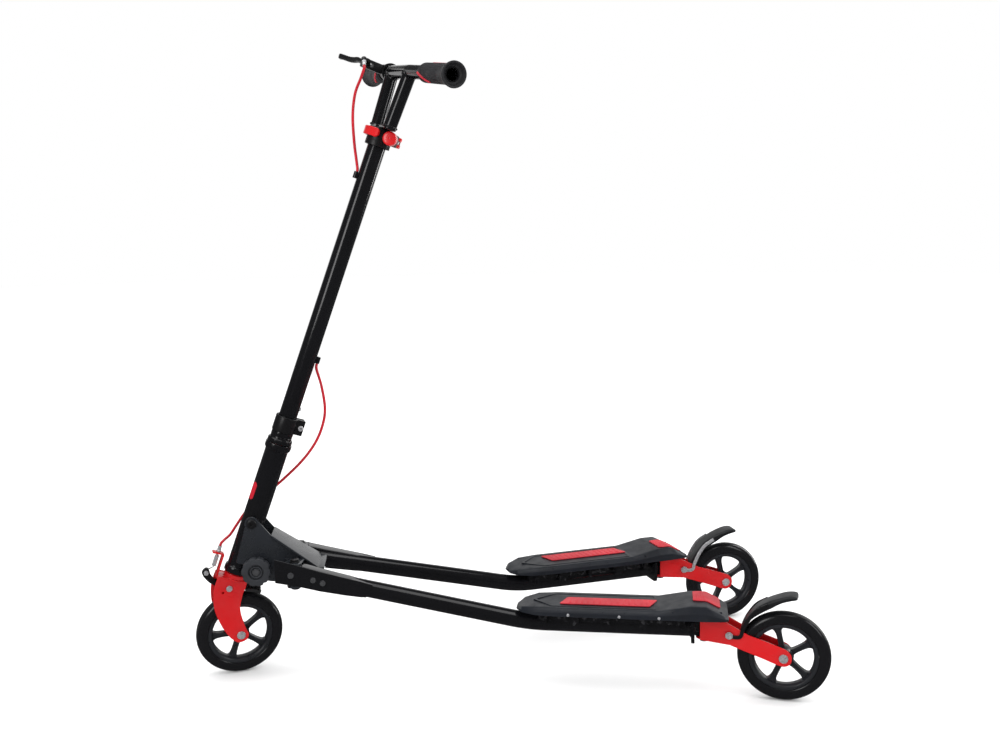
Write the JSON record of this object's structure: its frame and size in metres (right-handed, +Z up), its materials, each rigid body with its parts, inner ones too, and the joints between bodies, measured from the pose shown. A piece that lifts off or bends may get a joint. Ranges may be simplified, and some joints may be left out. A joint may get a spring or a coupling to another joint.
{
  "type": "three-wheeled swing scooter",
  "caption": "Swing scooter with a tall folding stem, steered front wheel and two foot decks on arms that swing apart over trailing caster wheels",
  "frame": {"origin": "centre of the bounding box, on the floor under the wheels", "axes": "front is -X, rear is +X, the rider's left is -Y, up is +Z"},
  "size_m": [1.0228, 0.4476, 1.0358],
  "materials": {
    "rubber": "black rubber",
    "steel": "zinc plated steel",
    "cable_red": "crimson cable housing",
    "deck_plastic": "charcoal moulded plastic",
    "frame_black": "black paint",
    "gloss_black": "gloss black paint",
    "knob_plastic": "dark grey plastic",
    "pad_red": "pinkish red grip pad",
    "red_paint": "bright red paint",
    "rim_plastic": "dark grey moulded plastic",
    "satin_black": "satin black",
    "tyre": "smooth black tyre"
  },
  "bodies": {
    "frame": {"wedge_frame": "frame_black", "swing_bolt_left": "steel", "swing_bolt_right": "steel"},
    "head": {"head_tube": "gloss_black", "fold_bolt_left": "steel", "fold_bolt_right": "steel"},
    "knob": {"clamping_knob": "knob_plastic"},
    "steering": {"fork": "red_paint", "front_axle": "steel", "headset_ring": "gloss_black", "stem_tube": "gloss_black", "stem_collar": "satin_black", "collar_bolt": "steel", "locating_button": "steel", "cable_lower": "cable_red", "cable_barrel": "steel", "brake_pivot_bolt": "steel", "brake_wire": "steel", "stem_clamp": "satin_black", "clamp_bolt": "red_paint", "cable_upper": "cable_red"},
    "front_wheel": {"front_tyre": "tyre", "front_rim": "rim_plastic", "front_bearings": "steel"},
    "brake_arm": {"brake_arm": "satin_black", "brake_shoe": "rubber", "anchor_bolt": "steel"},
    "handlebar": {"handlebar": "gloss_black", "grip_left": "rubber", "grip_right": "rubber", "lever_bracket": "satin_black", "cable_adjuster": "steel"},
    "brake_lever": {"brake_lever": "satin_black"},
    "clamp_lever": {"clamp_lever": "red_paint"},
    "left_arm": {"left_arm": "gloss_black", "left_deck": "deck_plastic", "left_front_pad": "pad_red", "left_rear_pad": "pad_red", "left_swivel_bolt": "steel"},
    "left_caster": {"left_caster_fork": "red_paint", "left_axle": "steel", "left_brake_pivot": "steel"},
    "left_wheel": {"left_tyre": "tyre", "left_rim": "rim_plastic", "left_bearings": "steel"},
    "left_foot_brake": {"left_fender": "deck_plastic", "left_fender_stay": "steel"},
    "right_arm": {"right_arm": "gloss_black", "right_deck": "deck_plastic", "right_front_pad": "pad_red", "right_rear_pad": "pad_red", "right_swivel_bolt": "steel"},
    "right_caster": {"right_caster_fork": "red_paint", "right_axle": "steel", "right_brake_pivot": "steel"},
    "right_wheel": {"right_tyre": "tyre", "right_rim": "rim_plastic", "right_bearings": "steel"},
    "right_foot_brake": {"right_fender": "deck_plastic", "right_fender_stay": "steel"}
  },
  "joints": [
    {"name": "fold", "type": "hinge", "parent": "frame", "child": "head", "pos_m": [-0.40829, 0.00347, 0.26865], "axis": [0, 1, 0], "range_deg": [0, 60], "deforming": ["cable_lower"]},
    {"name": "knob_turn", "type": "hinge", "parent": "head", "child": "knob", "pos_m": [-0.40108, -0.02313, 0.1935], "axis": [0, -1, 0], "range_deg": [0, 180]},
    {"name": "steer", "type": "hinge", "parent": "head", "child": "steering", "pos_m": [-0.40829, 0.00347, 0.26865], "axis": [0.343, 0, 0.9393], "range_deg": [-63, 27], "deforming": ["cable_lower"]},
    {"name": "front_wheel_spin", "type": "hinge", "parent": "steering", "child": "front_wheel", "pos_m": [-0.44176, 0.01515, 0.07216], "axis": [-0.2903, 0.9511, 0.106], "continuous": true},
    {"name": "bar_height", "type": "slide", "parent": "steering", "child": "handlebar", "axis": [0.343, 0, 0.9393], "range_m": [0, 0.1], "deforming": ["cable_upper"]},
    {"name": "clamp_lever_open", "type": "hinge", "parent": "steering", "child": "clamp_lever", "pos_m": [-0.15518, 0.02156, 0.88471], "axis": [-0.343, 0, -0.9393], "range_deg": [0, 100]},
    {"name": "brake_lever_squeeze", "type": "hinge", "parent": "handlebar", "child": "brake_lever", "pos_m": [-0.2019, 0.06149, 1.01142], "axis": [-0.343, 0, -0.9393], "range_deg": [0, 12], "stiffness_Nm_per_rad": 0.8, "springref_deg": -8.59, "deforming": ["brake_wire"]},
    {"name": "brake_arm_swing", "type": "hinge", "parent": "steering", "child": "brake_arm", "pos_m": [-0.4556, 0.00127, 0.1588], "axis": [-0.2903, 0.9511, 0.106], "range_deg": [0, 3], "deforming": ["brake_wire"]},
    {"name": "left_arm_swing", "type": "hinge", "parent": "frame", "child": "left_arm", "pos_m": [-0.33758, -0.04853, 0.1725], "axis": [0, 0, -1], "range_deg": [-3.4, 5.6]},
    {"name": "left_swivel", "type": "hinge", "parent": "left_arm", "child": "left_caster", "pos_m": [0.31751, -0.14968, 0.0955], "axis": [0, 0, -1], "range_deg": [-33.9, 20.1]},
    {"name": "left_wheel_spin", "type": "hinge", "parent": "left_caster", "child": "left_wheel", "pos_m": [0.43527, -0.19161, 0.0725], "axis": [0.3355, 0.9421, 0], "continuous": true},
    {"name": "left_foot_brake_press", "type": "hinge", "parent": "left_caster", "child": "left_foot_brake", "pos_m": [0.35617, -0.16344, 0.10406], "axis": [0.3355, 0.9421, 0], "range_deg": [0, 5], "stiffness_Nm_per_rad": 1.5, "springref_deg": -8.59},
    {"name": "right_arm_swing", "type": "hinge", "parent": "frame", "child": "right_arm", "pos_m": [-0.33758, 0.05547, 0.1725], "axis": [0, 0, 1], "range_deg": [-4.6, 4.4]},
    {"name": "right_swivel", "type": "hinge", "parent": "right_arm", "child": "right_caster", "pos_m": [0.31525, 0.17031, 0.0955], "axis": [0, 0, 1], "range_deg": [-19.8, 34.2]},
    {"name": "right_wheel_spin", "type": "hinge", "parent": "right_caster", "child": "right_wheel", "pos_m": [0.43939, 0.1849, 0.0725], "axis": [-0.1167, 0.9932, 0], "continuous": true},
    {"name": "right_foot_brake_press", "type": "hinge", "parent": "right_caster", "child": "right_foot_brake", "pos_m": [0.356, 0.1751, 0.10406], "axis": [-0.1167, 0.9932, 0], "range_deg": [0, 5], "stiffness_Nm_per_rad": 1.5, "springref_deg": -8.59}
  ],
  "couplings": [
    {"joint": "brake_arm_swing", "follows": "brake_lever_squeeze", "ratio": 0.25}
  ]
}
